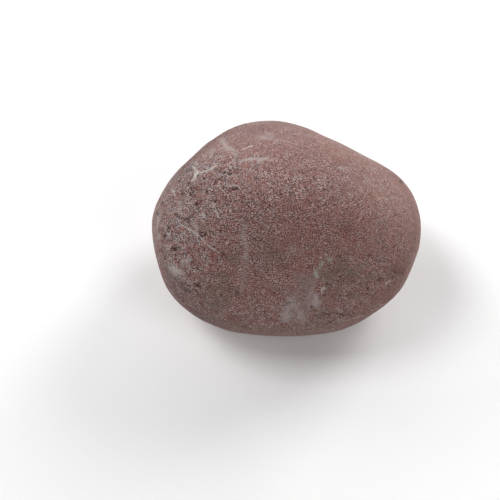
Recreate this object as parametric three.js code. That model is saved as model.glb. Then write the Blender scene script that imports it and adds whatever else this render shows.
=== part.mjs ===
// A water-worn cobble of fine-grained, reddish brown dolomite rock, lying on its broad side.
//
// Millimetres, +X to the right, +Y to the back and +Z up. The origin is on the surface that the stone
// rests on, below the middle of its outline. The stone is one solid: a superellipsoid that wear has
// planed to broad flats, with swells, hollows and scars on it and a small flat to rest on.

import * as THREE from "three";
import { mergeVertices } from "three/addons/utils/BufferGeometryUtils.js";
import { ImprovedNoise } from "three/addons/math/ImprovedNoise.js";

// Driving dimensions, in millimetres, measured from the middle of the stone before wear.
const HALF_WIDTH = 40.6; // along X
const HALF_DEPTH = 35; // along Y
const HALF_HEIGHT = 26; // along Z
const REST_DEPTH = 24.8; // down to the flat that the stone rests on
const FULLNESS = 2.35; // exponent of the superellipsoid: 2 is an ellipsoid, and more is fuller at its corners

// Each edge of the icosahedron that the surface starts from is split this many times, for 8000 triangles.
const EDGE_SPLITS = 19;

// In the lists below, "toward" is a direction from the middle of the stone, in degrees: its azimuth from
// +X towards +Y, and its elevation above the horizon. Lengths are in millimetres.

// Broad flats that wear has planed, each square to its direction and "distance" from the middle. A higher
// "sharpness" rounds a flat's border less.
const FLATS = [
  { name: "back right shoulder", toward: [54, 37.5], distance: 29, sharpness: 18 },
  { name: "back left shoulder", toward: [144, 28], distance: 34.6, sharpness: 10 },
  { name: "right corner", toward: [20, 22], distance: 38.3, sharpness: 26 },
  { name: "right side", toward: [-18, -15], distance: 40.6, sharpness: 30 },
  { name: "front right bevel", toward: [-53, -23], distance: 38, sharpness: 40 },
  { name: "left end", toward: [188, -12], distance: 39.2, sharpness: 18 },
  { name: "crown", toward: [95, 72], distance: 26, sharpness: 14 },
  { name: "front face", toward: [-90, 40], distance: 30.2, sharpness: 12 },
  { name: "back", toward: [85, -8], distance: 34.5, sharpness: 12 },
  { name: "left underside", toward: [-165, -62], distance: 27.2, sharpness: 20 },
  { name: "right underside", toward: [45, -52], distance: 30, sharpness: 14 },
];

// Swells of the surface, and hollows and scars where "height" is negative. Each fades over "spread" degrees.
const SWELLS = [
  { name: "left cheek hollow", toward: [-158, 26], height: -0.6, spread: 12 },
  { name: "right cheek swell", toward: [-30, 30], height: 0.5, spread: 16 },
  { name: "back left swell", toward: [130, -12], height: 0.8, spread: 15 },
  { name: "back right hollow", toward: [40, 8], height: -0.6, spread: 13 },
  { name: "underside swell", toward: [-60, -50], height: 0.8, spread: 14 },
  { name: "right shoulder chip", toward: [0, 28], height: -0.7, spread: 4.5 },
  { name: "left end dent", toward: [-168, 16], height: -0.5, spread: 5 },
  { name: "front left scar", toward: [-147, 54], height: -0.4, spread: 5 },
  { name: "front foot scar", toward: [-66, -2], height: -0.4, spread: 4.5 },
  { name: "back chip", toward: [96, 6], height: -0.8, spread: 6 },
  { name: "back foot scar", toward: [62, -22], height: -0.6, spread: 6 },
];

// Waves that leave the surface uneven all over.
const WAVES = [
  { height: 0.3, length: 15 },
  { height: 0.14, length: 7 },
];

// The unit vector toward an azimuth and an elevation in degrees.
function directionOf([azimuth, elevation]) {
  const turn = THREE.MathUtils.degToRad(azimuth);
  const rise = THREE.MathUtils.degToRad(elevation);
  return new THREE.Vector3(Math.cos(rise) * Math.cos(turn), Math.cos(rise) * Math.sin(turn), Math.sin(rise));
}

const flats = FLATS.map((flat) => ({ ...flat, normal: directionOf(flat.toward) }));
const swells = SWELLS.map((swell) => ({
  ...swell,
  centre: directionOf(swell.toward),
  spread: THREE.MathUtils.degToRad(swell.spread),
}));
const noise = new ImprovedNoise();

// How far the stone before wear reaches from its middle in a direction.
function unwornReach({ x, y, z }) {
  const shares = [x / HALF_WIDTH, y / HALF_DEPTH, z / HALF_HEIGHT];
  return shares.reduce((sum, share) => sum + Math.abs(share) ** FULLNESS, 0) ** (-1 / FULLNESS);
}

// The smaller of two reaches, rounded where they cross.
function rounded(reach, planeReach, sharpness) {
  return (reach ** -sharpness + planeReach ** -sharpness) ** (-1 / sharpness);
}

// How far the worn stone's surface reaches from its middle in a direction.
function wornReach(direction) {
  let reach = unwornReach(direction);
  for (const { normal, distance, sharpness } of flats) {
    const facing = normal.dot(direction);
    if (facing > 0) {
      reach = rounded(reach, distance / facing, sharpness);
    }
  }
  for (const { centre, height, spread } of swells) {
    reach += height * Math.exp(-((centre.angleTo(direction) / spread) ** 2));
  }
  let wave = 0;
  for (const { height, length } of WAVES) {
    const { x, y, z } = direction.clone().multiplyScalar(reach / length);
    wave += height * noise.noise(x, y, z);
  }
  return reach + wave;
}

// A closed sphere of even triangles, moved out to the stone's surface and cut flat where it rests.
function stoneGeometry() {
  const sphere = new THREE.IcosahedronGeometry(1, EDGE_SPLITS);
  sphere.deleteAttribute("normal");
  sphere.deleteAttribute("uv");
  const geometry = mergeVertices(sphere, 1e-5);
  const position = geometry.getAttribute("position");
  const direction = new THREE.Vector3();
  for (let i = 0; i < position.count; i++) {
    direction.fromBufferAttribute(position, i).normalize();
    const restReach = direction.z < 0 ? REST_DEPTH / -direction.z : Infinity;
    direction.multiplyScalar(Math.min(wornReach(direction), restReach));
    position.setXYZ(i, direction.x, direction.y, direction.z);
  }
  geometry.computeBoundingBox();
  const middle = geometry.boundingBox.getCenter(new THREE.Vector3());
  geometry.translate(-middle.x, -middle.y, REST_DEPTH);
  geometry.computeVertexNormals();
  return geometry;
}

const stoneMaterial = new THREE.MeshStandardMaterial({ color: 0x7d6561, roughness: 0.85, metalness: 0 });
const stone = new THREE.Mesh(stoneGeometry(), stoneMaterial);
stone.name = "stone";

const cobble = new THREE.Group();
cobble.add(stone);

export default cobble;
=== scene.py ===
"""A water-worn cobble of reddish brown dolomite on a pale floor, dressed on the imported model's frame.

The stone is one mesh: the CAD solid refined to a fine grid, with the worn relief, pits, cracks and
ledges that its own faces are too large for. Marks on the side that the camera sees are placed by the
picture's pixels and cast onto the surface. The other sides have marks of the same kinds, placed by
direction from the stone's middle. Lengths are in millimetres, unless a comment says metres.
"""

import itertools
import math

import bmesh
import bpy
import numpy as np
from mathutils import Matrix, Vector
from mathutils.bvhtree import BVHTree


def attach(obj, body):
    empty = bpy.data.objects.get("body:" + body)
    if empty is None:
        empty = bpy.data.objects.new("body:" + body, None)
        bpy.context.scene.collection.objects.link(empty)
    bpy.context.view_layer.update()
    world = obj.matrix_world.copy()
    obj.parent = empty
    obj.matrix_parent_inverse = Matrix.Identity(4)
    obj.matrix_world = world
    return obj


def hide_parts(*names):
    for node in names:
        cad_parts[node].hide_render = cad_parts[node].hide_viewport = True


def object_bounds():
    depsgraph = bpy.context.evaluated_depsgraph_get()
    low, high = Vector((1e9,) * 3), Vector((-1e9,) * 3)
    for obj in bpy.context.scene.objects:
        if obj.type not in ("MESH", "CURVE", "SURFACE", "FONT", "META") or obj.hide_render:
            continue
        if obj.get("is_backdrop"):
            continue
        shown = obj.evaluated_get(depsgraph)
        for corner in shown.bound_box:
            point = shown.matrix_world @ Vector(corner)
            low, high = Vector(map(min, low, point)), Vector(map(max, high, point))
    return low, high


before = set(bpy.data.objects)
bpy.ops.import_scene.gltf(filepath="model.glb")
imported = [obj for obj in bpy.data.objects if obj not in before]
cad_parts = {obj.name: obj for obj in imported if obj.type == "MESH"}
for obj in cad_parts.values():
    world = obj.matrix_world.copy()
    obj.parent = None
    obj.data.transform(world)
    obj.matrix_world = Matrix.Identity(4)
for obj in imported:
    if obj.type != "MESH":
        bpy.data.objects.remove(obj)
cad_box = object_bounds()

MM = 0.001
SEED = 7

# The camera. The picture is square, and the stone's middle stands off its centre.
FRAME_PX = 500
MIDDLE_PX = (287.1, 224.4)
PX_PER_MM = 3.3625  # at the stone's middle
VIEW_ELEVATION = math.radians(48)
VIEW_DISTANCE = 320
SENSOR_MM = 36

# The floor, and how far off the lights stand, in metres.
FLOOR_HALF = 1.0
FLOOR_ROUGHNESS = 0.9
LIGHT_DISTANCE = 1.2
# Each light's azimuth and elevation in degrees, its width and height in metres, and its watts.
LIGHTS = {
    "back right window": (45, 25, 0.6, 0.85, 11.8),
    "back window": (90, 15, 1.0, 0.45, 7.2),
    "back left window": (145, 25, 0.6, 0.85, 5.5),
    "left ceiling": (180, 60, 0.6, 0.45, 5.9),
    "front right fill": (-45, 35, 0.6, 0.45, 4.4),
    "front left fill": (-135, 35, 0.6, 0.45, 1.9),
}
# The white world: its light on the scene, and how much brighter the camera sees it.
WORLD_LIGHT = 0.02
WORLD_SEEN = 1.0

# -------- marks

# Marks are grouped by kind. Each has its figures and a path, and a path of one point is a round patch. On
# the side that the camera sees a point is a picture pixel. Around the stone it is an azimuth, from +X
# towards +Y, and an elevation, both in degrees.
SEEN = {}
AROUND = {}

# Zones of the grain: where it shows, where it is smooth, where it clumps and where it is red.
# The figures are a radius and a strength.
ZONES = ("speckled", "smooth", "clumped", "reddened")
SEEN["speckled"] = {
    "upper left": (30, 0.9, [(200, 190), (240, 210), (270, 190)]),
    "left end": (14, 0.9, [(172, 215), (176, 262)]),
    "lower left": (14, 0.7, [(205, 290), (260, 310)]),
    "upper right": (13, 0.75, [(305, 178), (350, 195)]),
    "all over": (120, 0.66, [(290, 220)]),
}
SEEN["smooth"] = {
    "crown": (11, 0.34, [(255, 136), (300, 138), (345, 160)]),
    "crown rim": (3.2, 0.7, [(225, 125), (262, 118.5), (310, 128)]),
    "top right rim": (5, 0.9, [(310, 128), (350, 146), (385, 165), (402, 186)]),
}
AROUND["smooth"] = {
    "underside": (8, 0.5, [(0, -85)]),
}
SEEN["clumped"] = {
    "upper left": (16, 1, [(205, 175), (185, 205), (180, 240)]),
    "left half": (32, 0.36, [(230, 200)]),
    "crown": (9, 0.4, [(240, 135), (300, 138)]),
    "upper right": (11, 0.4, [(305, 172), (350, 192)]),
    "lower left": (13, 0.75, [(178, 285), (205, 310)]),
    "foot": (11, 0.65, [(250, 323), (330, 318)]),
    "right end": (11, 0.55, [(350, 292), (385, 270), (395, 230), (385, 200)]),
    "all over": (120, 0.18, [(290, 220)]),
}
AROUND["clumped"] = {
    "back": (12, 0.8, [(118, 14), (108, 0)]),
    "left end": (12, 0.5, [(175, -10)]),
    "underside": (12, 0.5, [(250, -55)]),
    "right end": (10, 0.5, [(18, -12), (32, -4)]),
    "back foot": (9, 0.4, [(70, -18)]),
}
SEEN["reddened"] = {
    "upper left": (17, 1, [(205, 185), (235, 175)]),
    "left end": (14, 0.9, [(174, 225), (195, 250)]),
    "right end": (14, 0.7, [(378, 215), (392, 250), (372, 275)]),
    "upper middle": (24, 0.45, [(260, 190), (300, 205)]),
    "all over": (120, 0.18, [(290, 220)]),
}
AROUND["reddened"] = {
    "back": (14, 0.5, [(110, 15)]),
    "back right": (14, 0.45, [(60, 5)]),
    "underside": (16, 0.6, [(260, -55)]),
    "right foot": (12, 0.6, [(20, -40)]),
    "right end": (12, 0.55, [(10, -6), (28, 8)]),
}

# Soft marks are colour that fades at its edge. The figures are a radius and a strength.
SEEN["mauve"] = {
    "left shoulder": (14, 0.2, [(190, 200), (200, 165)]),
    "left end": (8, 0.4, [(165, 235), (175, 270)]),
    "lower left": (7, 0.3, [(190, 300), (255, 300)]),
    "middle": (9, 0.35, [(255, 215), (262, 270)]),
}
AROUND["mauve"] = {
    "back": (16, 0.75, [(95, 15)]),
    "back right": (13, 0.6, [(52, 2), (38, 14)]),
    "back left": (13, 0.65, [(150, 5)]),
    "back foot": (12, 0.6, [(100, -25), (130, -28)]),
    "right end": (10, 0.55, [(8, -10), (356, -22)]),
    "left end": (10, 0.5, [(182, -18)]),
    "underside": (12, 0.5, [(300, -55)]),
}
SEEN["mauve pale"] = {
    "upright band": (1, 1, [(241.5, 221), (244.5, 232), (245, 245), (245.5, 258)]),
    "upright band below": (1, 0.5, [(245.5, 258), (243, 290)]),
    "cloud middle": (1.4, 0.5, [(291, 247), (296, 252)]),
    "cloud top": (2.6, 1, [(263, 136), (268, 138.5)]),
    "spot upper middle": (0.8, 0.7, [(286, 151)]),
    "spot middle": (0.8, 0.9, [(299.5, 187), (301, 193)]),
    "smooth patch upper left": (1.4, 0.6, [(175, 180), (178, 175)]),
    # The bevel edge is partly painted highlight along the edge.
    "bevel edge": (0.8, 0.8, [(390, 299.5), (380, 305.6), (368, 312), (356, 317.6)]),
}
AROUND["mauve pale"] = {
    "spot right end 1": (1.3, 0.8, [(14, -4)]),
    "spot right end 2": (0.9, 0.8, [(28, 10)]),
    "upright band back": (0.9, 0.7, [(88, 22), (90, 14), (93, 2)]),
    "spot back 1": (0.9, 0.8, [(104, 4)]),
    "spot back 2": (1.3, 0.7, [(48, 18)]),
    "spot back 3": (0.8, 0.8, [(140, 18)]),
    "spot underside 1": (1.2, 0.7, [(10, -60)]),
    "spot underside 2": (1, 0.7, [(175, -48)]),
}
SEEN["grey"] = {
    "band below the top": (1.3, 0.85, [(219, 138.5), (224, 143), (228, 146), (233, 150)]),
    "band bend": (0.5, 0.7, [(235.5, 151), (236.5, 157)]),
    "band across": (1.2, 1, [(242, 161), (246, 160), (250, 159), (257, 160), (265, 158.5)]),
    "cloud at the forked vein": (1.5, 0.55, [(192, 166), (199, 164)]),
    "over the forked vein": (1.6, 0.4, [(203, 158), (212, 150)]),
    "left rim": (1.6, 0.7, [(159, 206), (158.5, 220), (157.5, 240)]),
    "left rim outside": (2.6, 0.4, [(155.5, 208), (154.2, 240)]),
    "left rim above": (1.2, 0.4, [(172, 180), (163, 194)]),
    "specks left": (0.9, 0.7, [(181, 202), (180, 210)]),
    "specks left lower": (0.9, 0.55, [(174, 219), (180, 224)]),
    "below the long vein": (0.9, 0.5, [(193, 222), (197, 231)]),
    "pale patch tail": (0.7, 0.4, [(182, 276), (189, 281)]),
    "upright band middle": (0.6, 0.28, [(244.5, 230), (245, 243), (245.5, 256)]),
}
AROUND["grey"] = {
    "band back": (1, 0.8, [(112, 28), (119, 20), (124, 11)]),
    "band back end": (0.8, 0.7, [(126, 7), (134, 2)]),
    "patch back left": (1.5, 0.8, [(158, 14), (162, 10)]),
    "patch underside": (1.6, 0.7, [(255, -48), (262, -46)]),
    "patch right end": (1.6, 0.45, [(354, -14)]),
}
SEEN["veil"] = {
    "left": (4, 0.85, [(289, 316), (299, 306)]),
    "right": (3.6, 0.85, [(301, 318), (311, 303), (307, 284)]),
}
AROUND["veil"] = {
    "back": (5, 0.8, [(64, 12), (74, 2)]),
    "underside": (4, 0.8, [(120, -60), (140, -64)]),
    "right end": (3.6, 0.7, [(344, -30), (352, -34)]),
}
SEEN["cloud"] = {
    "pale patch lower left": (2.2, 0.8, [(171.5, 268), (179, 270)]),
    "small pale patch lower left": (0.9, 0.8, [(182, 261.5), (188.5, 261)]),
    "pale spot upper right": (0.75, 0.8, [(339.5, 168), (346, 168.5)]),
    "pale spot far right": (0.7, 0.6, [(372, 168.5), (377, 170)]),
    "pale streak far right": (0.6, 0.5, [(363.5, 174.5), (366.5, 179), (370.5, 182)]),
    "pale ring right": (0.55, 0.7, [(381, 184.5), (384.4, 188), (382, 192), (378.4, 190), (381, 184.5)]),
    "pale spot right of middle": (0.8, 0.6, [(360, 188.5), (362, 192)]),
    "left lobe": (1.5, 0.8, [(283, 318), (288, 313)]),
    "left streak": (0.9, 0.7, [(288, 313), (292, 304), (291, 298)]),
    "middle streak": (0.9, 0.5, [(295, 306), (300, 314), (303, 320)]),
    "right lobe": (1.2, 1, [(315, 305), (317, 300), (317.5, 297)]),
    "right streak": (1.3, 0.5, [(316, 300), (311, 296)]),
}
AROUND["cloud"] = {
    "back": (1.6, 0.8, [(69, 8), (72, 3)]),
    "streak back": (1, 0.6, [(60, 16), (66, 12)]),
    "underside": (1.3, 0.8, [(126, -61), (133, -63)]),
    "right end": (1.3, 0.6, [(347, -31), (350, -32)]),
}
SEEN["green"] = {
    "spot 1": (0.5, 0.8, [(328.4, 258), (329.6, 260.5)]),
    "spot 2": (0.5, 0.8, [(321.2, 265.6), (322.8, 263)]),
    "spot 3": (0.65, 1, [(315.2, 272.8), (317.6, 276.4)]),
    "spot 4": (0.55, 0.7, [(323.2, 280)]),
    "spot 5": (0.4, 0.8, [(314, 269.6)]),
}
AROUND["green"] = {
    "spot back 1": (0.6, 0.8, [(50, -3)]),
    "spot back 2": (0.7, 0.9, [(52, -7)]),
}
SEEN["olive"] = {
    "patch": (2.6, 1, [(345, 266), (348, 270)]),
    "arm left": (1.6, 0.8, [(329, 272), (340, 270)]),
    "arm right": (1.5, 0.85, [(352, 275), (369, 279)]),
    "below the specks": (1.6, 0.7, [(325, 278), (330, 285)]),
    "halo": (6, 0.35, [(335, 266), (358, 280)]),
    "spot left of middle": (1.5, 0.7, [(231, 257), (236, 255)]),
    "middle": (3, 0.35, [(262, 255), (290, 258)]),
    "lower left": (3.5, 0.55, [(222, 278), (216, 306)]),
    # The foot is partly painted reflection: an olive tint along the bottom edge.
    "foot": (3.2, 0.45, [(220, 321), (250, 329), (300, 331), (330, 325)]),
}
AROUND["olive"] = {
    "patch back": (2.8, 0.9, [(38, -4), (43, -8)]),
    "arm back": (1.5, 0.7, [(28, -1), (36, -6)]),
    "patch left end": (2.4, 0.6, [(188, -20), (196, -24)]),
    "patch underside": (4, 0.5, [(60, -65), (80, -72)]),
}
# Painted shade on the crown and the upper left rim: darker where the lamps light the stone brightly. The
# other marks of this kind are darker patches of the stone.
SEEN["shade"] = {
    "crown": (7, 0.4, [(225, 126), (262, 120), (300, 126)]),
    "upper left rim": (3.6, 0.95, [(229, 130), (208, 144), (187, 163), (168, 188)]),
    "left rim": (2.6, 0.35, [(160, 205), (155, 222), (154, 240), (157, 255)]),
    "left end": (6, 0.2, [(176, 205), (176, 245), (182, 285)]),
    "by the ledge": (1.6, 0.65, [(322, 312), (350, 314)]),
    "lower left": (4, 0.35, [(190, 288), (199, 294)]),
}
AROUND["shade"] = {
    "back foot": (6, 0.5, [(80, -35), (110, -38)]),
    "right end": (5, 0.45, [(12, 8), (20, 4)]),
}
SEEN["slate"] = {
    "blue trail": (0.55, 0.55, [(236.5, 156), (238.5, 162), (238.5, 171)]),
    "blue spot": (0.7, 0.7, [(237, 160.5)]),
    "streak on the left rim": (0.5, 0.6, [(160.5, 222), (158.5, 228), (158, 234)]),
    "spot at the forked vein": (1.5, 1, [(188.5, 170), (191, 168)]),
    # The notch's dark colour is partly painted shade in the notch.
    "notch on the left rim": (0.55, 1, [(156, 213.5), (158.5, 214)]),
    "left of the pits": (1, 0.3, [(184, 221), (188, 221)]),
    "spot lower left": (1, 0.7, [(185.5, 286.5), (185.5, 290)]),
}
AROUND["slate"] = {
    "spot back": (0.9, 0.7, [(116, 22)]),
    "spot left end": (0.9, 0.6, [(180, 2)]),
}
SEEN["plum"] = {
    "lower left rim": (3, 0.7, [(164, 262), (178, 294), (200, 315), (225, 328)]),
}
SEEN["earth"] = {
    "beside the veil": (2.6, 0.7, [(318, 324), (323, 311)]),
    "lower right": (3.6, 0.5, [(333, 292), (352, 300)]),
    "right of the bevel": (3, 0.4, [(392, 284), (398, 276)]),
}
AROUND["earth"] = {
    "back foot": (5, 0.6, [(55, -30), (75, -28)]),
    "underside": (9, 0.5, [(200, -65), (230, -70)]),
    "underside right": (6, 0.5, [(330, -45), (350, -40)]),
    "right end": (4, 0.5, [(2, -24), (12, -30)]),
}
SEEN["blood"] = {
    # The upper left rim is painted shade: darker and redder where the lamps light the rim brightly.
    "upper left rim": (3.4, 0.65, [(229, 130), (208, 144), (187, 163)]),
    "upper middle": (13, 0.2, [(248, 208), (285, 205)]),
    "right of the bevel": (2.4, 1, [(394, 272), (404, 270)]),
    "spot 1": (0.8, 0.7, [(210, 286.5)]),
    "spot 2": (0.6, 0.7, [(359.4, 264)]),
    "spot 3": (1, 0.6, [(212, 252)]),
    "spot 4": (0.7, 0.7, [(314, 152)]),
    "spot 5": (1.5, 0.5, [(345, 228), (350, 235)]),
    "spot 6": (1.6, 0.5, [(285, 264)]),
}
AROUND["blood"] = {
    "right end": (1.6, 0.5, [(8, 0), (12, -4)]),
    "back": (1.4, 0.6, [(76, 20), (80, 16)]),
    "underside": (1.6, 0.6, [(310, -35), (316, -38)]),
}
# Many of these clusters lie on pits, and there their dark colour is partly painted shade in the pit.
SEEN["dark"] = {
    "cluster 1": (1, 0.9, [(190, 191.5), (196, 194.5)]),
    "cluster 2": (0.8, 0.9, [(195.5, 203.5), (199, 203.5)]),
    "cluster 3": (0.7, 0.8, [(183, 195.5), (186, 197)]),
    "cluster 4": (0.8, 0.8, [(204.5, 182), (213.5, 184.5)]),
    "cluster 5": (0.5, 0.9, [(223, 163.5), (225.5, 164)]),
    "cluster 6": (0.7, 0.8, [(221, 171.5), (231, 174)]),
    "cluster 7": (0.85, 0.75, [(184, 220), (191, 217.5)]),
    "cluster 8": (0.8, 0.9, [(176.5, 215), (179, 217)]),
    "cluster 9": (0.8, 0.9, [(166, 227), (169.5, 228)]),
    "cluster 10": (1, 0.9, [(173, 249.5), (176, 247)]),
    "cluster 11": (0.8, 0.6, [(160, 249.5), (162, 251)]),
    "cluster 12": (0.6, 0.5, [(203, 232), (205, 234)]),
    "cluster 13": (1, 0.7, [(229, 190), (238, 188.5)]),
    "cluster 14": (0.5, 0.5, [(222, 253), (225, 257)]),
    "cluster 15": (0.6, 0.7, [(170, 266), (171, 268)]),
    "cluster 16": (0.8, 0.6, [(158, 232), (163.5, 231)]),
    "cluster 17": (0.7, 0.5, [(236, 291), (238.5, 294)]),
    "cluster 18": (1, 0.4, [(184, 287), (187, 291)]),
    "cluster 19": (0.8, 0.4, [(197, 290), (200, 296)]),
    "cluster 20": (0.9, 0.5, [(188, 308), (194, 311)]),
    "cluster 21": (0.7, 0.6, [(349, 294), (352, 297)]),
    "cluster 22": (0.8, 0.6, [(241, 326), (247, 327)]),
}
AROUND["dark"] = {
    "cluster right end 2": (0.9, 0.6, [(22, -17), (25, -19)]),
    "cluster back 1": (1, 0.8, [(99, 16), (102, 13)]),
    "cluster back 2": (0.8, 0.8, [(130, 13), (132, 11)]),
    "cluster back 3": (0.9, 0.7, [(84, -12), (87, -14)]),
    "cluster back 4": (0.8, 0.8, [(146, 6), (148, 3)]),
    "cluster left end": (1, 0.8, [(172, -10), (175, -13)]),
    "cluster right end": (0.9, 0.6, [(5, -8), (7, -11)]),
    "cluster underside 1": (1.1, 0.7, [(240, -60), (246, -62)]),
    "cluster underside 2": (0.9, 0.7, [(45, -50), (50, -53)]),
}
SEEN["tan"] = {
    # The foot rim is painted light, from the floor below it.
    "foot rim": (3, 0.3, [(228, 327), (258.5, 332), (287, 333), (316, 332)]),
    "right end": (13, 0.8, [(390, 205), (415, 235)]),
    "lower right": (8, 0.4, [(372, 290), (374, 250)]),
    "top right edge": (4.5, 0.6, [(330, 150), (370, 168), (400, 190)]),
    # The bevel is painted light: the face below the bevel edge made lighter, as the floor lights it.
    "bevel": (1.8, 0.9, [(392, 303), (380, 309.5), (364, 318), (348, 324)]),
}
AROUND["tan"] = {
    "back right": (11, 0.5, [(12, 5), (28, -18)]),
}
# These marks are painted shade: darker red along the rims, where the lamps and the gloss light the edges
# brightly.
SEEN["red rim shade"] = {
    "right rim": (5.5, 0.75, [(360, 316), (375, 307), (396, 285), (408, 257), (415, 236), (417, 215)]),
    "right rim middle": (3.2, 0.9, [(414, 238), (412, 248), (408.5, 260), (403, 271)]),
    "top right rim": (2.6, 0.3, [(262, 119), (310, 129), (350, 147), (385, 166), (401, 184)]),
}
SEEN["chalk"] = {
    "along the band across": (0.5, 0.5, [(247, 160), (254, 159.4), (262, 158.8)]),
    "at the fork": (0.7, 0.7, [(193.6, 168), (196, 174)]),
    "on the left rim": (0.8, 0.7, [(157.5, 218), (158.5, 223)]),
    "in the pale patch": (1.3, 1, [(172.4, 268), (179.4, 270.6)]),
    "below the pale patch": (0.6, 0.7, [(176, 273.4), (181.4, 273)]),
    "above the pale patch": (0.7, 0.9, [(182.6, 260.6), (187.6, 260)]),
}

# Sharp marks are thin lines: veins, from faint to white, and dark cracks. The figure is half the
# line's width.
SEEN["faint"] = {
    "upright scratch": (0.16, [(208.4, 197), (208, 204)]),
    "curl": (0.15, [(220, 214), (222.6, 210), (226, 207)]),
    "level line": (0.15, [(226.1, 237.7), (236.6, 237.2)]),
    "arc": (0.3, [(280.4, 140.6), (284.2, 141.2), (289.2, 142)]),
    "loop": (0.15, [(245, 186.4), (249, 184.8), (251.4, 187.6)]),
    "curved streak 1": (0.15, [(211, 280.2), (215.6, 277.8), (219.4, 279.8)]),
    "curved streak 2": (0.15, [(213.6, 284), (218.8, 281.6)]),
    "curl at the lower left": (0.15, [(207.2, 256.6), (211.2, 259), (210.4, 263)]),
    "curl at the right": (0.17, [(357, 235.4), (359.8, 231.8), (363.6, 233.2)]),
    "wavy crack rim": (0.26, [(356.4, 272.6), (360.6, 276.4), (365.2, 280.2), (369.8, 279.6)]),
}
AROUND["faint"] = {
    "long vein back 3": (0.17, [(119, -19), (124, -22)]),
    "dash right end": (0.2, [(18, 20), (24, 17)]),
    "vein right end spur": (0.16, [(14, 6), (20, 8)]),
    "curl back 1": (0.16, [(56, 4), (59, 7), (63, 6)]),
    "curl back 2": (0.16, [(138, -8), (141, -5), (145, -6)]),
    "vein underside 2": (0.18, [(330, -60), (345, -66), (5, -70)]),
    "vein left end": (0.17, [(184, 14), (181, 8), (179, 1)]),
}
# These lines along the bevel edge are partly painted highlight, where the edge catches light from the floor.
SEEN["rose"] = {
    "bevel line": (0.22, [(391, 299), (380, 305.2), (370.4, 310.2)]),
    "bevel line beside it": (0.16, [(384, 300.6), (376, 305), (368, 308.6)]),
    "bevel line lower": (0.34, [(362, 314.6), (353, 318.6), (345, 321)]),
}
SEEN["pale"] = {
    "forked vein spur": (0.2, [(197, 171.2), (194.8, 167.8), (192, 166)]),
    "white dash": (0.26, [(243.3, 149.2), (248.3, 147), (253.4, 145.8)]),
    "pale speck": (0.4, [(321.8, 289.6), (325, 287.9)]),
    "pale speck right": (0.36, [(385.8, 283.4), (389.6, 281.2)]),
    "left scratch": (0.17, [(171.2, 188.4), (173.2, 192), (176, 197)]),
    "left dash": (0.17, [(187, 189), (189.4, 184.6)]),
    "long scratch": (0.14, [(211.6, 202.6), (214.8, 207.6), (216.8, 212.6), (218.6, 217.6)]),
    "long vein start": (0.17, [(179.2, 224.2), (185.8, 227)]),
    "long vein 1": (0.22, [(185.2, 226.8), (189.6, 229.2), (193.6, 231.8)]),
    "long vein 2": (0.22, [(193.6, 231.8), (198.6, 236), (203.4, 240.4)]),
    "long vein 3": (0.17, [(203.4, 240.6), (206, 244), (211, 247.6)]),
    "long vein 4": (0.14, [(211, 247.6), (215.4, 250.2), (220, 253.4)]),
    "short dash left": (0.2, [(167.4, 234.4), (170.6, 231.4)]),
    "pit row rim": (0.18, [(229, 186.9), (232.4, 185.4), (236, 185.4), (239.6, 187.6)]),
}
AROUND["pale"] = {
    "forked vein back spur": (0.2, [(127, 20), (128, 24)]),
    "long vein back 1": (0.2, [(100, 0), (105, -4), (109, -9)]),
    "long vein back 2": (0.17, [(110, -11), (114, -15), (119, -18)]),
    "dash back 1": (0.24, [(80, 24), (84, 22)]),
    "dash back 2": (0.2, [(150, 20), (153, 17)]),
    "vein right end": (0.17, [(8, 10), (14, 6), (17, 0), (22, -5)]),
    "vein underside 1": (0.18, [(210, -45), (217, -50), (226, -54)]),
}
SEEN["white"] = {
    "forked vein": (0.22, [(216.7, 165.2), (211.7, 168.3), (206.7, 170.8), (200.8, 172.9), (197, 171.2)]),
    "forked vein stub": (0.6, [(196.8, 173.6), (194.8, 176.4), (193.8, 179.8)]),
}
AROUND["white"] = {
    "forked vein back": (0.22, [(118, 24), (122, 21), (127, 20), (131, 17)]),
}
# The cracks' dark colour is partly painted shade, in the crack and below the ridges beside it.
SEEN["crack"] = {
    "wavy": (0.14, [(355.4, 274.2), (360.8, 278.2), (364.6, 282), (369.2, 282.2)]),
    "foot ledge": (0.28, [(322.6, 312.6), (328.6, 315), (334.8, 312.4), (340, 314.2)]),
    "foot ledge end": (0.2, [(340, 314.2), (346, 315.8), (352, 315.4)]),
    "right": (0.22, [(393.6, 271.8), (399.4, 273.4), (405, 270.6)]),
    "olive": (0.15, [(333.8, 272.4), (338, 271.8), (341.2, 268.8)]),
    "by the specks": (0.15, [(326.6, 283.2), (329.4, 285.2), (331.4, 283.6)]),
    "top dash 1": (0.22, [(259.6, 125.2), (263.6, 125.6)]),
    "top dash 2": (0.22, [(260, 129.4), (264, 129.8)]),
    "top dash 3": (0.18, [(272, 140.4), (275.8, 136.8)]),
    "red dash": (0.1, [(241, 326.4), (246.6, 327)]),
}
AROUND["crack"] = {
    "back foot": (0.2, [(64, -24), (70, -26), (76, -24), (82, -26)]),
    "back left": (0.16, [(155, -16), (160, -14), (166, -15)]),
    "right end": (0.16, [(352, 4), (356, 7), (2, 6)]),
    "underside": (0.18, [(275, -52), (284, -55), (292, -53)]),
}

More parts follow.
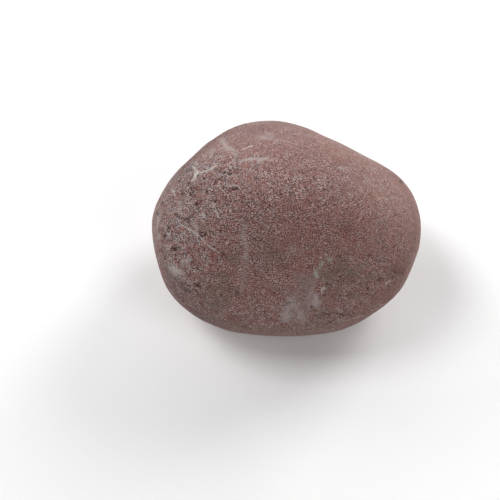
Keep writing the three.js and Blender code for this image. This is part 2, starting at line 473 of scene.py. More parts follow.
# Relief. The figures are a pit's depth or a ridge's height, and a radius.
SEEN["pit"] = {
    "by the grey band": (0.3, 0.45, [(229, 174.4), (232, 173)]),
    "row 1": (0.28, 0.4, [(228.6, 190)]),
    "row 2": (0.34, 0.5, [(232, 189.2), (234, 189)]),
    "row 3": (0.34, 0.42, [(236.8, 188.2)]),
    "dark patch 1": (0.25, 0.5, [(214.6, 181.7)]),
    "dark patch 2": (0.25, 0.55, [(193.6, 193.2)]),
    "dark patch 3": (0.22, 0.5, [(182.6, 195.6)]),
    "dark patch 4": (0.2, 0.45, [(196.4, 204.4), (199, 203.8)]),
    "dark patch 5": (0.2, 0.5, [(224, 163.4)]),
    "left group 1": (0.3, 0.5, [(185.8, 218)]),
    "left group 2": (0.3, 0.4, [(189.8, 217)]),
    "left group 3": (0.26, 0.4, [(187.6, 221.2)]),
    "left group 4": (0.24, 0.5, [(175.8, 215.8)]),
    "left": (0.32, 0.55, [(167.6, 227.2), (169.4, 227.8)]),
    "left low": (0.4, 0.85, [(174.6, 248.6)]),
    "left low 2": (0.2, 0.4, [(181, 250)]),
    "left rim": (0.22, 0.5, [(161.4, 250)]),
    "left small": (0.2, 0.4, [(164, 230)]),
    "left rim notch": (0.35, 0.6, [(156.8, 213.5)]),
    "shoulder notch": (0.35, 0.75, [(400.6, 182), (401.6, 180.8)]),
    "low": (0.25, 0.4, [(237.2, 291.6)]),
    "low left": (0.22, 0.45, [(187, 309)]),
    "speck 1": (0.2, 0.4, [(318.6, 287)]),
    "speck 2": (0.16, 0.4, [(317, 295.4)]),
    "lower right": (0.2, 0.45, [(349.8, 294.6)]),
    "right": (0.2, 0.45, [(397.7, 265.9)]),
    "middle": (0.16, 0.4, [(313.5, 202.2)]),
    "middle 2": (0.14, 0.4, [(266, 202)]),
    "right 2": (0.14, 0.4, [(413.4, 225.4)]),
}
AROUND["pit"] = {
    "back 1": (0.3, 0.5, [(101, 14)]),
    "back 2": (0.3, 0.5, [(131, 12)]),
    "back 3": (0.34, 0.6, [(85, -13)]),
    "back 4": (0.26, 0.45, [(147, 5)]),
    "back row": (0.26, 0.4, [(92, 22), (96, 22)]),
    "back by the veil": (0.2, 0.4, [(58, 2)]),
    "back notch": (0.4, 0.8, [(26, 16)]),
    "left end": (0.34, 0.6, [(173, -11)]),
    "left end low": (0.25, 0.5, [(190, -30)]),
    "right end": (0.28, 0.5, [(6, -10)]),
    "underside 1": (0.34, 0.7, [(243, -61)]),
    "underside 2": (0.3, 0.6, [(48, -52)]),
    "underside 3": (0.24, 0.5, [(150, -50)]),
    "underside 4": (0.24, 0.5, [(320, -50)]),
}
SEEN["ridge"] = {
    "bevel line": (0.3, 0.6, [(391, 298), (381, 305.2), (368, 312), (356, 317.6)]),
    "pit row rim": (0.08, 0.45, [(229, 186.5), (234, 185), (239.6, 187.2)]),
    "foot ledge": (0.12, 0.7, [(322.6, 309.6), (334.8, 309.6), (346, 312.4)]),
    "wavy crack rim": (0.08, 0.5, [(356.4, 271.6), (361.6, 275.6), (369.8, 278.2)]),
}
AROUND["ridge"] = {
    "back foot ledge": (0.14, 0.7, [(64, -21), (72, -23), (82, -22)]),
    "back bevel": (0.16, 0.7, [(140, 26), (148, 20), (153, 12)]),
    "right end ridge": (0.12, 0.6, [(350, 8), (357, 10)]),
}

# How marks fade: the shares of the radius, or for a line's reach the distances, where that begins and ends.
PATCH_EDGE = (0.1, 1.4)
PIT_EDGE = (0.2, 1.15)
RIDGE_EDGE = (0, 1.6)
LINE_REACH = (0.4, 0.85)
LINE_FAR = 2.0  # beyond which a line counts for nothing

# The fine mesh: how near two corners of the solid are merged, in metres, and how often faces are split.
MERGE_METRES = 1e-6
REFINE_LEVELS = 2
# Layers of noise over the mesh. Each layer has its height or strength, the size of its features and its
# seed.
NOISE_LAYERS = {
    "swell": [(0.08, 5.5, 11), (0.03, 2.6, 12)],
    "grain": [(0.035, 1.2, 13), (0.02, 0.7, 14)],
    "edge": [(0.35, 3, 21), (0.45, 1.1, 22)],
    "shift x": [(1, 2.4, 23), (0.6, 1, 26)],
    "shift y": [(1, 2.4, 24), (0.6, 1, 27)],
    "shift z": [(1, 2.4, 25), (0.6, 1, 28)],
    "pit edge": [(0.5, 0.8, 31)],
    "tone": [(1, 6, 41), (0.6, 3, 42)],
}
GRAIN_SMOOTH = 0.2  # share of the grain's relief where nothing clumps
GRAIN_CLUMPED = 2.2  # what is added to it where all clumps
# How far the edges of patches wander, as a share of the radius, and the largest radius that counts.
WANDER = 0.5
WANDER_RADIUS = 3
# How much mauve the tone lays on the ground, and between which of its values.
TONE_MAUVE = 0.35
TONE_EDGE = (0, 0.9)

# Small pits scattered over the stone: how many, their radii, and their depths as shares of the radii.
SCATTERED_PITS = 900
SCATTERED_RADII = (0.35, 0.95)
SCATTERED_DEPTHS = (0.15, 0.45)
PITTING_SMOOTH = 0.15  # share of their depth where nothing clumps
PIT_REACH = 2  # radii, beyond which a pit presses nothing
# The groove along a crack: its half-width in those of the crack, and its depth.
GROOVE_WIDTH = 2.5
GROOVE_DEPTH = 0.1

# Sizes of the grains, how far from each tiny one lie the four that it is set against, and how much the
# difference counts.
TINY_GRAIN = 0.22
SMALL_GRAIN = 0.7
GRAIN_REACH = 0.33
TINY_CONTRAST = 1.5
# How well a soft mark covers a grain: at least this, and more by the grain's random number.
COVER_LEAST = 0.35
COVER_MORE = 1.3

# Noises in the material: the size of their features, their detail, roughness and offset.
NOISES = {
    "blotch": (2.6, 5, 0.72, (0, 0, 0)),
    "pink blotch": (1.6, 3, 0.6, (19, 3, 7)),
    "clump": (2.2, 3, 0.65, (0, 0, 0)),
    "contrast": (3.5, 3, 0.6, (2, 37, 11)),
    "hue": (1.5, 3, 0.75, (7, 43, 21)),
    "streak gap": (2, 1, 0.5, (31, 7, 13)),
    # The next noise makes the painted shade and dirt in the pits uneven.
    "pit dirt and shade": (0.6, 1, 0.5, (0, 0, 0)),
    "waver": (0.8, 2, 0.5, (0, 0, 0)),
    "wear": (0.7, 1, 0.5, (0, 0, 0)),
}
# Steps in the material: the values between which each goes from nothing to full, and what it goes from and
# to where that isn't nought and one.
STEPS = {
    "red blotch": (0.5, 0.62),
    "grey blotch": (0.40, 0.32),
    "pink blotch": (0.54, 0.64),
    "small grains where clumped": (0, 1, 0, 0.3),
    "clumps where clumped": (0, 1, 0, 1.1),
    "curls where clumped": (0, 1, 0.3, 1),
    "contrast where smooth": (0, 1, 1, 0.28),
    "contrast in patches": (0.38, 0.62, 0.7, 1.3),
    "dark grain": (0, -0.45),
    "light grain": (0.1, 0.56),
    "middle of a grain": (0.42, 0.2),
    "rare grain": (0.94, 0.98),
    "hue where reddened": (0, 1, 0.4, 1.6),
    "hue where covered": (0, 0.5, 1, 0.15),
    "redder": (0.5, 0.66),
    "greyer": (0.5, 0.34),
    "streak": (0.03, 0.01),
    "streak gap": (0.5, 0.6),
    # The next two lay the painted shade and dirt in the pits and cracks.
    "pit dirt and shade": (0.06, 0.22, 0, 0.95),
    "pit dirt and shade in patches": (0.4, 0.55, 0.45, 1),
    "line's width": (1.5, 0.7),
    "line's end": (1.2, 0.2),
    "roughness": (0, 1, 0.6, 0.8),
    "lumps where clumped": (0, 1, -0.03, -0.1),
}
# Curved strokes among the grains: their spacing, the step at their edge, and then the offset and strength
# of the light ones and of the dark ones.
STROKES = {
    "stroke": (0.45, 0.07, ((0, 0, 0), 0.25), ((17, 5, 29), 0.2)),
    "curl": (1.4, 0.05, ((5, 23, 9), 0.42), ((41, 2, 13), 0.35)),
}
STREAK = 2
STREAK_OFFSET = (3, 11, 2)
STREAK_STRENGTH = 0.6
RIDGE_BEND = 0.4  # how crooked strokes, curls and streaks are
LINE_WAVER = 3  # how far the edges of lines waver, in half-widths
# The values of its noise between which wear lets go of a line, and the least and most that lines show.
WEAR_EDGE = (0.42, 0.56)
WEAR = {
    "faint": (0.1, 0.85),
    "rose": (0.3, 0.9),
    "pale": (0.45, 1),
    "white": (0.6, 1),
    "crack": (0.2, 0.75),
}
SPECULAR = 0.35
BUMP_STRENGTH = 0.8
BUMP_GRAIN = 0.05

# Colours are linear.
FLOOR_COLOUR = (0.92, 0.92, 0.92, 1)
RED_GROUND = (0.190, 0.075, 0.061, 1)
# Soft marks are laid over one another in this order. Each kind has its colour, how well it hides the
# grains, and how far it tips them from dark towards light.
SOFT_KINDS = {
    "mauve": ((0.175, 0.108, 0.10, 1), 0, 0),
    "mauve pale": ((0.255, 0.185, 0.172, 1), 0.25, 0.12),
    "grey": ((0.31, 0.28, 0.258, 1), 0.25, 0.34),
    "veil": ((0.205, 0.148, 0.142, 1), 0.45, 0.05),
    "cloud": ((0.31, 0.27, 0.262, 1), 0.42, 0.2),
    "green": ((0.37, 0.42, 0.365, 1), 0.7, 0.1),
    # Partly painted reflection, along the foot.
    "olive": ((0.115, 0.094, 0.064, 1), 0.45, -0.12),
    # Partly painted shade, on the crown and the upper left rim.
    "shade": ((0.12, 0.066, 0.058, 1), 0, -0.1),
    "slate": ((0.12, 0.115, 0.115, 1), 0.6, -0.25),
    "plum": ((0.125, 0.073, 0.070, 1), 0, -0.1),
    "earth": ((0.135, 0.090, 0.074, 1), 0.3, 0),
    # Partly painted shade, on the upper left rim.
    "blood": ((0.13, 0.05, 0.042, 1), 0, -0.25),
    # Partly painted shade, where its clusters lie on pits.
    "dark": ((0.085, 0.038, 0.033, 1), 0, -0.38),
    # Partly painted light, on the foot rim and the bevel.
    "tan": ((0.252, 0.130, 0.0995, 1), 0.2, 0),
    # Painted shade for the brightly lit rims.
    "red rim shade": ((0.155, 0.066, 0.047, 1), 0.35, -0.08),
    "chalk": ((0.40, 0.36, 0.34, 1), 0.4, 0.2),
}
SHARP_COLOURS = {
    "faint": (0.29, 0.22, 0.205, 1),
    "rose": (0.355, 0.24, 0.21, 1),
    "pale": (0.43, 0.38, 0.355, 1),
    "white": (0.52, 0.48, 0.44, 1),
    # The crack colour is partly painted shade in the crack.
    "crack": (0.055, 0.024, 0.019, 1),
}
DARK_GRAIN = (0.06, 0.017, 0.014, 1)
LIGHT_GRAIN = (0.44, 0.308, 0.284, 1)
LIGHT_GRAIN_ROUGH = (0.45, 0.395, 0.38, 1)
WHITE_GRAIN = (0.52, 0.44, 0.415, 1)
BLACK_GRAIN = (0.04, 0.016, 0.014, 1)
RED_BLOTCH = (0.24, 0.081, 0.066, 1)
GREY_BLOTCH = (0.24, 0.195, 0.182, 1)
PINK_BLOTCH = (0.32, 0.174, 0.157, 1)
# Painted shade and dirt: a dark colour laid in the pits and along the cracks, partly standing for their
# shadow.
PIT_DIRT_AND_SHADE = (0.042, 0.014, 0.012, 1)
# The factors that make a patch of grains redder or greyer.
REDDER = (1.14, 0.92, 0.895, 1)
GREYER = (0.90, 1.035, 1.085, 1)


# -------- camera, floor and lights


def add_object(name, data):
    made = bpy.data.objects.new(name, data)
    bpy.context.scene.collection.objects.link(made)
    return made


def new_material(name):
    """A material and its shader."""
    material = bpy.data.materials.new(name)
    material.use_nodes = True
    return material, material.node_tree.nodes["Principled BSDF"]


def stone_middle():
    """The middle of the CAD box."""
    low, high = cad_box
    return (low + high) / 2 / MM


def view_axes():
    """The camera's right, up and forward directions."""
    rise, run = math.sin(VIEW_ELEVATION), math.cos(VIEW_ELEVATION)
    return Vector((1, 0, 0)), Vector((0, rise, run)), Vector((0, run, -rise))


def camera_place():
    return stone_middle() - view_axes()[2] * VIEW_DISTANCE


def make_camera():
    forward = view_axes()[2]
    camera = add_object("camera", bpy.data.cameras.new("camera"))
    camera.location = camera_place() * MM
    camera.rotation_euler = forward.to_track_quat("-Z", "Y").to_euler()
    camera.data.sensor_width = SENSOR_MM
    camera.data.lens = SENSOR_MM * VIEW_DISTANCE * PX_PER_MM / FRAME_PX
    camera.data.shift_x = (FRAME_PX / 2 - MIDDLE_PX[0]) / FRAME_PX
    camera.data.shift_y = (MIDDLE_PX[1] - FRAME_PX / 2) / FRAME_PX
    bpy.context.scene.camera = camera


def make_floor():
    mesh = bpy.data.meshes.new("floor")
    corners = [(x * FLOOR_HALF, y * FLOOR_HALF, 0) for x, y in ((-1, -1), (1, -1), (1, 1), (-1, 1))]
    mesh.from_pydata(corners, [], [(0, 1, 2, 3)])
    floor = add_object("floor", mesh)
    material, shader = new_material("pale floor")
    shader.inputs["Base Color"].default_value = FLOOR_COLOUR
    shader.inputs["Roughness"].default_value = FLOOR_ROUGHNESS
    mesh.materials.append(material)
    floor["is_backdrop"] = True


def direction_of(azimuth, elevation):
    """The unit vector toward an azimuth, from +X towards +Y, and an elevation, in degrees."""
    turn, rise = math.radians(azimuth), math.radians(elevation)
    return Vector((math.cos(rise) * math.cos(turn), math.cos(rise) * math.sin(turn), math.sin(rise)))


def make_light(name, azimuth, elevation, width, height, power):
    """A soft box that faces the stone."""
    away = direction_of(azimuth, elevation)
    light = add_object(name, bpy.data.lights.new(name, "AREA"))
    light.data.shape = "RECTANGLE"
    light.data.size, light.data.size_y = width, height
    light.data.energy = power
    light.location = stone_middle() * MM + away * LIGHT_DISTANCE
    light.rotation_euler = (-away).to_track_quat("-Z", "Y").to_euler()


def make_world():
    world = bpy.data.worlds.new("studio")
    world.use_nodes = True
    background = world.node_tree.nodes["Background"]
    background.inputs["Color"].default_value = (1, 1, 1, 1)
    nodes = Nodes(world.node_tree)
    seen = nodes.add("LightPath").outputs["Is Camera Ray"]
    strength = nodes.math("MULTIPLY_ADD", seen, WORLD_SEEN, WORLD_LIGHT)
    world.node_tree.links.new(strength, background.inputs["Strength"])
    bpy.context.scene.world = world
    bpy.context.scene.view_settings.view_transform = "Standard"


# -------- placing marks on the surface


class Surface:
    """Casts picture pixels and directions onto the stone."""

    STEP = 2.5  # longest stretch of a path between two points that are cast
    OUTSIDE = 200  # far enough from the middle to be outside the stone

    def __init__(self, points, faces):
        self.tree = BVHTree.FromPolygons([tuple(p) for p in points], faces)

    def at_pixel(self, pixel):
        """Where the ray through a pixel meets the stone. Just outside the outline it is the place nearest to
        the ray's end, which is as far off as the stone's middle."""
        right, up, forward = view_axes()
        across = (pixel[0] - MIDDLE_PX[0]) / PX_PER_MM
        above = (MIDDLE_PX[1] - pixel[1]) / PX_PER_MM
        ray = forward * VIEW_DISTANCE + right * across + up * above
        hit = self.tree.ray_cast(camera_place(), ray.normalized())[0]
        if hit is None:
            hit = self.tree.find_nearest(camera_place() + ray)[0]
        return hit

    def at_direction(self, angles):
        away = direction_of(*angles)
        return self.tree.ray_cast(stone_middle() + away * self.OUTSIDE, -away)[0]

    def path(self, stops, cast):
        """The stops of a path cast onto the surface, with more points between those that are far apart."""
        if len(stops) == 1:
            return np.array([cast(stops[0])])
        points = []
        for start, end in itertools.pairwise(stops):
            length = (cast(end) - cast(start)).length
            pieces = max(1, math.ceil(length / self.STEP))
            for share in np.arange(pieces) / pieces:
                points.append(cast(tuple(a + (b - a) * share for a, b in zip(start, end))))
        points.append(cast(stops[-1]))
        return np.array(points)

    def marks(self, kind):
        """The figures of each mark of a kind, and its path on the surface."""
        for kinds, cast in ((SEEN, self.at_pixel), (AROUND, self.at_direction)):
            for *figures, stops in kinds.get(kind, {}).values():
                yield *figures, self.path(stops, cast)


def segments(path):
    """The start and end of each stretch of a path; a path of one point is one stretch of no length."""
    if len(path) == 1:
        return [(path[0], path[0])]
    return list(itertools.pairwise(path))


def distance_to(points, path):
    """How far each point is from a path."""
    nearest = np.full(len(points), np.inf)
    for start, end in segments(path):
        along = end - start
        share = (points - start) @ along / max(along @ along, 1e-9)
        foot = start + np.clip(share, 0, 1)[:, None] * along
        nearest = np.minimum(nearest, np.linalg.norm(points - foot, axis=1))
    return nearest


def lattice_noise(points, cell, seed):
    """Smooth noise between -1 and 1, whose features are about one cell across. A hash with three primes
    picks each corner's value."""
    table = np.random.default_rng(seed).uniform(-1, 1, 4096)
    place = points / cell
    base = np.floor(place).astype(np.int64)
    share = place - base
    share = share**3 * (share * (share * 6 - 15) + 10)
    value = np.zeros(len(points))
    for corner in itertools.product((0, 1), repeat=3):
        key = np.bitwise_xor.reduce((base + corner) * (73856093, 19349663, 83492791), axis=1)
        weight = np.prod(np.where(corner, share, 1 - share), axis=1)
        value += weight * table[key % len(table)]
    return value


def layered_noise(points, name, base=0):
    """The named layers of noise on top of a base."""
    layers = NOISE_LAYERS[name]
    return sum((height * lattice_noise(points, cell, seed) for height, cell, seed in layers), base)


def smooth_step(value, low, high):
    share = np.clip((value - low) / (high - low), 0, 1)
    return share * share * (3 - 2 * share)


# -------- the stone's mesh


def refined_copy(node, name):
    """A new object with the node's surface, its faces split and smoothed."""
    bm = bmesh.new()
    bm.from_mesh(node.data)
    bmesh.ops.remove_doubles(bm, verts=bm.verts, dist=MERGE_METRES)
    coarse = bpy.data.meshes.new(name)
    bm.to_mesh(coarse)
    bm.free()
    piece = add_object(name, coarse)
    refine = piece.modifiers.new("refine", "SUBSURF")
    refine.levels = refine.render_levels = REFINE_LEVELS
    depsgraph = bpy.context.evaluated_depsgraph_get()
    fine = bpy.data.meshes.new_from_object(piece.evaluated_get(depsgraph))
    piece.modifiers.clear()
    piece.data = fine
    bpy.data.meshes.remove(coarse)
    fine.name = name
    for face in fine.polygons:
        face.use_smooth = True
    fine.materials.clear()
    return piece


def read_vectors(items, attribute):
    values = np.empty(len(items) * 3)
    items.foreach_get(attribute, values)
    return values.reshape(-1, 3)


def scattered_pits(points):
    """The middle, radius and depth of each of the small pits that are scattered over the stone."""
    rng = np.random.default_rng(SEED)
    centres = points[rng.choice(len(points), SCATTERED_PITS, replace=False)]
    radii = rng.uniform(*SCATTERED_RADII, SCATTERED_PITS)
    depths = radii * rng.uniform(*SCATTERED_DEPTHS, SCATTERED_PITS)
    return zip(centres, radii, depths)


def pitting(points, clumped, surface):
    """How deep each point lies in pits and cracks. The scattered pits are deepest where grains clump."""
    ragged = layered_noise(points, "pit edge", 1)
    depth = np.zeros(len(points))

    def press(distance, radius, deep):
        near = np.nonzero(distance < radius * PIT_REACH)[0]
        share = distance[near] * ragged[near] / radius
        depth[near] = np.maximum(depth[near], deep * (1 - smooth_step(share, *PIT_EDGE)))

    for centre, radius, deep in scattered_pits(points):
        press(np.linalg.norm(points - centre, axis=1), radius, deep)
    depth *= PITTING_SMOOTH + (1 - PITTING_SMOOTH) * clumped
    for deep, radius, path in surface.marks("pit"):
        press(distance_to(points, path), radius, deep)
    for radius, path in surface.marks("crack"):
        press(distance_to(points, path), radius * GROOVE_WIDTH, GROOVE_DEPTH)
    return depth


def ridging(points, surface):
    """How far each point stands out on ridges."""
    height = np.zeros(len(points))
    for rise, radius, path in surface.marks("ridge"):
        share = distance_to(points, path) / radius
        height = np.maximum(height, rise * (1 - smooth_step(share, *RIDGE_EDGE)))
    return height


def worn_relief(points, clumped):
    """The low swells and the grain that wear leaves, outward. The grain is coarser where it clumps."""
    grain = layered_noise(points, "grain")
    return layered_noise(points, "swell") + grain * (GRAIN_SMOOTH + GRAIN_CLUMPED * clumped)


class Patches:
    """Fields of patches and bands whose soft edges wander."""

    def __init__(self, points, surface):
        self.points = points
        self.surface = surface
        # A factor on the distance to a patch, and a shift of each point.
        self.factor = layered_noise(points, "edge", 1)
        self.shift = np.stack([layered_noise(points, "shift " + axis) for axis in "xyz"], axis=1)

    def field(self, kind):
        """How strongly the strongest patch of a kind shows at each point."""
        strongest = np.zeros(len(self.points))
        for radius, strength, path in self.surface.marks(kind):
            moved = self.points + self.shift * WANDER * min(radius, WANDER_RADIUS)
            share = distance_to(moved, path) * self.factor / radius
            strongest = np.maximum(strongest, strength * (1 - smooth_step(share, *PATCH_EDGE)))
        return strongest


def ground_fields(points, patches):
    """The colour under the grains, how well it hides them, and how far it tips them towards light."""
    colour = np.tile(np.array(RED_GROUND), (len(points), 1))
    cover = np.zeros(len(points))
    tip = np.zeros(len(points))
    for kind, (tint, covering, tipping) in SOFT_KINDS.items():
        strength = patches.field(kind)
        if kind == "mauve":
            tone = smooth_step(layered_noise(points, "tone"), *TONE_EDGE)
            strength = np.maximum(strength, TONE_MAUVE * tone)
        colour += (np.array(tint) - colour) * strength[:, None]
        cover = np.maximum(cover, strength * covering)
        tip += strength * tipping
    return colour, cover, tip


def line_field(points, normals, marks):
    """How far each point is from the nearest of some lines and past the line's end, both in half-widths,
    and whether it is close to the line at all. The first is negative on the line's other side, so that it
    runs evenly through zero between the points on either side."""
    nearest = np.full(len(points), np.inf)
    field = np.zeros((len(points), 3))
    for radius, path in marks:
        stretches = segments(path)
        for index, (start, end) in enumerate(stretches):
            length = np.linalg.norm(end - start)
            along = (end - start) / length
            offset = points - start
            reach = offset @ along
            foot = start + np.clip(reach, 0, length)[:, None] * along
            distance = np.linalg.norm(points - foot, axis=1)
            near = np.nonzero((distance < nearest) & (distance < LINE_FAR))[0]
            side = np.einsum("ij,ij->i", np.cross(along, normals[near]), offset[near])
            before = -reach[near] if index == 0 else np.zeros(len(near))
            after = reach[near] - length if index == len(stretches) - 1 else np.zeros(len(near))
            overrun = np.maximum(0, np.maximum(before, after))
            across = np.where(overrun > 0, np.abs(side), distance[near]) * np.sign(side)
            nearest[near] = distance[near]
            field[near, 0] = across / radius
            field[near, 1] = overrun / radius
    field[:, 2] = 1 - smooth_step(nearest, *LINE_REACH)
    return field


def store(mesh, name, kind, values):
    """Keeps a number, vector or colour for each vertex under a name."""
    attribute = mesh.attributes.new(name, kind, "POINT")
    key = {"FLOAT": "value", "FLOAT_VECTOR": "vector", "FLOAT_COLOR": "color"}[kind]
    attribute.data.foreach_set(key, values.astype(np.float32).ravel())


def make_stone():
    stone = refined_copy(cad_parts["stone"], "cobble")
    mesh = stone.data
    points = read_vectors(mesh.vertices, "co") / MM
    normals = read_vectors(mesh.vertices, "normal")
    surface = Surface(points, [tuple(face.vertices) for face in mesh.polygons])

    patches = Patches(points, surface)
    zones = {name: patches.field(name) for name in ZONES}
    depth = pitting(points, zones["clumped"], surface)
    colour, cover, tip = ground_fields(points, patches)
    for name, values in zones.items():
        store(mesh, name, "FLOAT", values)
    # The depth also lays the painted shade and dirt in the pits and cracks.
    store(mesh, "pitted", "FLOAT", depth)
    store(mesh, "ground", "FLOAT_COLOR", colour)
    store(mesh, "cover", "FLOAT", cover)
    store(mesh, "tip", "FLOAT", tip)
    for kind in SHARP_COLOURS:
        store(mesh, kind, "FLOAT_VECTOR", line_field(points, normals, surface.marks(kind)))

    rise = worn_relief(points, zones["clumped"]) + ridging(points, surface) - depth
    points = points + normals * rise[:, None]
    low, high = (np.array(corner) / MM for corner in cad_box)
    mesh.vertices.foreach_set("co", (np.clip(points, low, high) * MM).ravel())
    mesh.update()
    return stone


# -------- the stone's material


class Nodes:
    """Adds nodes to a tree. An input is a number, a colour, a vector or another node's output."""

    def __init__(self, tree):
        self.tree = tree

    def add(self, kind, inputs=(), **settings):
        node = self.tree.nodes.new("ShaderNode" + kind)
        for name, value in settings.items():
            setattr(node, name, value)
        for key, value in dict(inputs).items():
            if isinstance(value, bpy.types.NodeSocket):
                self.tree.links.new(value, node.inputs[key])
            else:
                node.inputs[key].default_value = value
        return node

    def math(self, operation, *values, clamp=False):
        return self.add("Math", enumerate(values), operation=operation, use_clamp=clamp).outputs[0]

    def times(self, first, second):
        return self.math("MULTIPLY", first, second)

    def plus(self, first, second):
        return self.math("ADD", first, second)

    def moved(self, vector, offset):
        return self.add("VectorMath", enumerate((vector, offset)), operation="ADD").outputs["Vector"]

    def scaled(self, vector, factor):
        return self.add("VectorMath", {"Vector": vector, "Scale": factor}, operation="SCALE").outputs[0]

    def noise(self, place, cell, detail, roughness, distortion=0.0):
        inputs = dict(Vector=place, Scale=1 / cell, Detail=detail, Roughness=roughness, Distortion=distortion)
        return self.add("TexNoise", inputs).outputs["Fac"]

    def step(self, value, low, high, smallest=0.0, largest=1.0):
        """From smallest to largest as the value goes from low to high."""
        inputs = enumerate((value, low, high, smallest, largest))
        return self.add("MapRange", inputs, interpolation_type="SMOOTHSTEP").outputs[0]

    def mix(self, share, first, second, blend="MIX"):
        node = self.add("Mix", {0: share, 6: first, 7: second}, data_type="RGBA", blend_type=blend)
        return node.outputs[2]

    def attribute(self, name, output="Fac"):
        """A number, vector or colour that is kept on the vertices."""
        return self.add("Attribute", attribute_name=name).outputs[output]


class Dolomite(Nodes):
    """The stone's material. Its colour starts as the ground's, and each layer goes over those before."""

    def __init__(self, tree):
        super().__init__(tree)
        self.place = self.scaled(self.add("TexCoord").outputs["Object"], 1 / MM)
        self.ground = self.attribute("ground", "Color")
        self.clumped = self.attribute("clumped")
        self.reddened = self.attribute("reddened")
        self.tiny = self.cells(self.place, TINY_GRAIN)
        self.small = self.cells(self.place, SMALL_GRAIN)
        self.contrast = self.grain_contrast()
        self.colour = self.ground

    def patchy(self, name):
        """One of the named noises."""
        *settings, offset = NOISES[name]
        place = self.moved(self.place, offset) if any(offset) else self.place
        return self.noise(place, *settings)

    def rise(self, value, name):
        """One of the named steps."""
        return self.step(value, *STEPS[name])

    def ridge(self, cell, offset):
        """Nought along curved lines about a cell apart, and more away from them."""
        value = self.noise(self.moved(self.place, offset), cell, 0.0, 0.5, RIDGE_BEND)
        return self.math("ABSOLUTE", self.math("SUBTRACT", value, 0.5))

    def cells(self, place, cell):
        """Three random numbers for the grain that a place is in, and the distance to the grain's middle."""
        node = self.add("TexVoronoi", {"Vector": place, "Scale": 1 / cell})
        parts = self.add("SeparateColor", {0: node.outputs["Color"]})
        return *parts.outputs[:3], node.outputs["Distance"]

    def crisp_cells(self, cell, reach):
        """A random number for each grain less the mean of four around it, so that light and dark grains lie
        side by side and don't gather in patches."""
        corners = ((1, 1, 1), (1, -1, -1), (-1, 1, -1), (-1, -1, 1))
        around = 0.0
        for corner in corners:
            offset = [part * reach / math.sqrt(3) for part in corner]
            around = self.plus(around, self.cells(self.moved(self.place, offset), cell)[0])
        return self.math("MULTIPLY_ADD", around, -1 / len(corners), self.cells(self.place, cell)[0])

    def strokes(self, name):
        """Light curved strokes less dark ones."""
        cell, edge, *sides = STROKES[name]
        light, dark = (
            self.step(self.ridge(cell, offset), edge, 0.0, 0.0, strength) for offset, strength in sides
        )
        return self.math("SUBTRACT", light, dark)

    def grain_level(self):
        """How light or, below nought, how dark each grain is."""
        small = self.math("SUBTRACT", self.small[0], 0.5)
        small = self.times(small, self.rise(self.clumped, "small grains where clumped"))
        clumps = self.math("SUBTRACT", self.patchy("clump"), 0.5)
        clumps = self.times(clumps, self.rise(self.clumped, "clumps where clumped"))
        strokes = self.strokes("stroke")
        curls = self.times(self.strokes("curl"), self.rise(self.clumped, "curls where clumped"))
        level = self.times(self.crisp_cells(TINY_GRAIN, GRAIN_REACH), TINY_CONTRAST)
        level = self.plus(self.plus(level, self.plus(strokes, curls)), self.plus(small, clumps))
        return self.plus(level, self.attribute("tip"))

    def grain_contrast(self):
        """How strongly grains show."""
        smooth = self.rise(self.attribute("smooth"), "contrast where smooth")
        contrast = self.times(self.attribute("speckled"), smooth)
        return self.times(contrast, self.rise(self.patchy("contrast"), "contrast in patches"))

    def lay(self, tint, value, name, amount, blend="MIX"):
        """Lays a tint where a value has risen by one of the named steps, as strongly as an amount says."""
        share = self.times(self.rise(value, name), amount)
        self.colour = self.mix(share, self.colour, tint, blend)

    def lay_blotches(self):
        """Red, grey and pink blotches where the stone is reddened."""
        blotch = self.patchy("blotch")
        self.lay(RED_BLOTCH, blotch, "red blotch", self.reddened)
        self.lay(GREY_BLOTCH, blotch, "grey blotch", self.reddened)
        self.lay(PINK_BLOTCH, self.patchy("pink blotch"), "pink blotch", self.reddened)

    def lay_grains(self):
        """Grains from dark to light, which the soft marks cover in part."""
        level = self.grain_level()
        self.lay(DARK_GRAIN, level, "dark grain", self.contrast)
        light = self.mix(self.clumped, LIGHT_GRAIN, LIGHT_GRAIN_ROUGH)
        self.lay(light, level, "light grain", self.contrast)
        uneven = self.math("MULTIPLY_ADD", self.tiny[1], COVER_MORE, COVER_LEAST)
        cover = self.math("MULTIPLY", self.attribute("cover"), uneven, clamp=True)
        self.colour = self.mix(cover, self.colour, self.ground)

    def lay_flecks(self):
        """A few grains that are nearly white or nearly black."""
        _, white, black, distance = self.small
        spot = self.times(self.rise(distance, "middle of a grain"), self.contrast)
        self.lay(WHITE_GRAIN, white, "rare grain", spot)
        self.lay(BLACK_GRAIN, black, "rare grain", spot)

    def lay_hues(self):
        """Redder and greyer patches of grains."""
        hue = self.patchy("hue")
        share = self.times(self.contrast, self.rise(self.reddened, "hue where reddened"))
        share = self.times(share, self.rise(self.attribute("cover"), "hue where covered"))
        self.lay(REDDER, hue, "redder", share, "MULTIPLY")
        self.lay(GREYER, hue, "greyer", share, "MULTIPLY")

    def lay_streaks(self):
        """Thin pale streaks that wander between the clumps."""
        wander = self.ridge(STREAK, STREAK_OFFSET)
        broken = self.rise(self.patchy("streak gap"), "streak gap")
        share = self.times(self.rise(wander, "streak"), self.times(broken, self.clumped))
        self.colour = self.mix(self.times(share, STREAK_STRENGTH), self.colour, SHARP_COLOURS["faint"])

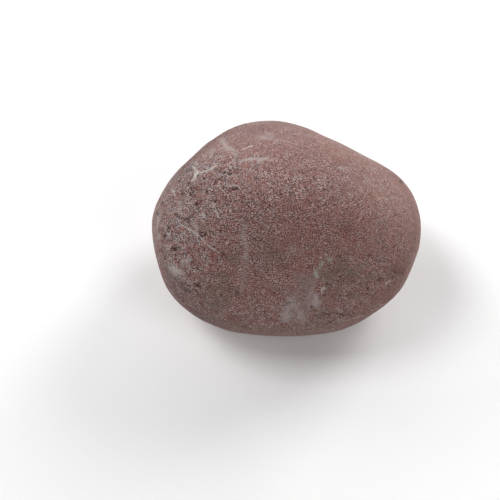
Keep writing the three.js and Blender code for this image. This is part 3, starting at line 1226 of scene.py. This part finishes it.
    def lay_pit_dirt_and_shade(self):
        """Painted shade and dirt in the pits and along the cracks: a dark colour laid where the surface lies
        deep.
        """
        uneven = self.rise(self.patchy("pit dirt and shade"), "pit dirt and shade in patches")
        self.lay(PIT_DIRT_AND_SHADE, self.attribute("pitted"), "pit dirt and shade", uneven)

    def line_mask(self, kind, waver):
        """Where a sharp kind's lines are, with a wavering edge."""
        parts = self.add("SeparateXYZ", {0: self.attribute(kind, "Vector")})
        across, overrun, near = parts.outputs
        width = self.rise(self.math("ABSOLUTE", self.plus(across, waver)), "line's width")
        return self.times(self.times(width, self.rise(overrun, "line's end")), near)

    def lay_lines(self):
        """The sharp marks, with worn gaps."""
        waver = self.math("MULTIPLY_ADD", self.patchy("waver"), LINE_WAVER, -LINE_WAVER / 2)
        wear = self.patchy("wear")
        for kind, tint in SHARP_COLOURS.items():
            worn = self.step(wear, *WEAR_EDGE, *WEAR[kind])
            self.colour = self.mix(self.times(self.line_mask(kind, waver), worn), self.colour, tint)

    def roughness(self):
        return self.rise(self.tiny[2], "roughness")

    def bump(self):
        """The relief of the grains."""
        lumps = self.times(self.small[3], self.rise(self.clumped, "lumps where clumped"))
        height = self.plus(self.times(self.tiny[0], BUMP_GRAIN), lumps)
        bump = self.add("Bump", {"Height": height, "Distance": MM, "Strength": BUMP_STRENGTH})
        return bump.outputs[0]


def stone_material():
    material, shader = new_material("dolomite")
    nodes = Dolomite(material.node_tree)
    nodes.lay_blotches()
    nodes.lay_grains()
    nodes.lay_flecks()
    nodes.lay_hues()
    nodes.lay_streaks()
    nodes.lay_pit_dirt_and_shade()
    nodes.lay_lines()
    shader.inputs["Specular IOR Level"].default_value = SPECULAR
    nodes.tree.links.new(nodes.colour, shader.inputs["Base Color"])
    nodes.tree.links.new(nodes.roughness(), shader.inputs["Roughness"])
    nodes.tree.links.new(nodes.bump(), shader.inputs["Normal"])
    return material


make_camera()
make_floor()
for light_name, settings in LIGHTS.items():
    make_light(light_name, *settings)
make_world()
stone = make_stone()
stone.data.materials.append(stone_material())
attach(stone, "root")
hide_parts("stone")

boxes = {"cad": cad_box, "visual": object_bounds()}
{name: [list(corner) for corner in box] for name, box in boxes.items()}
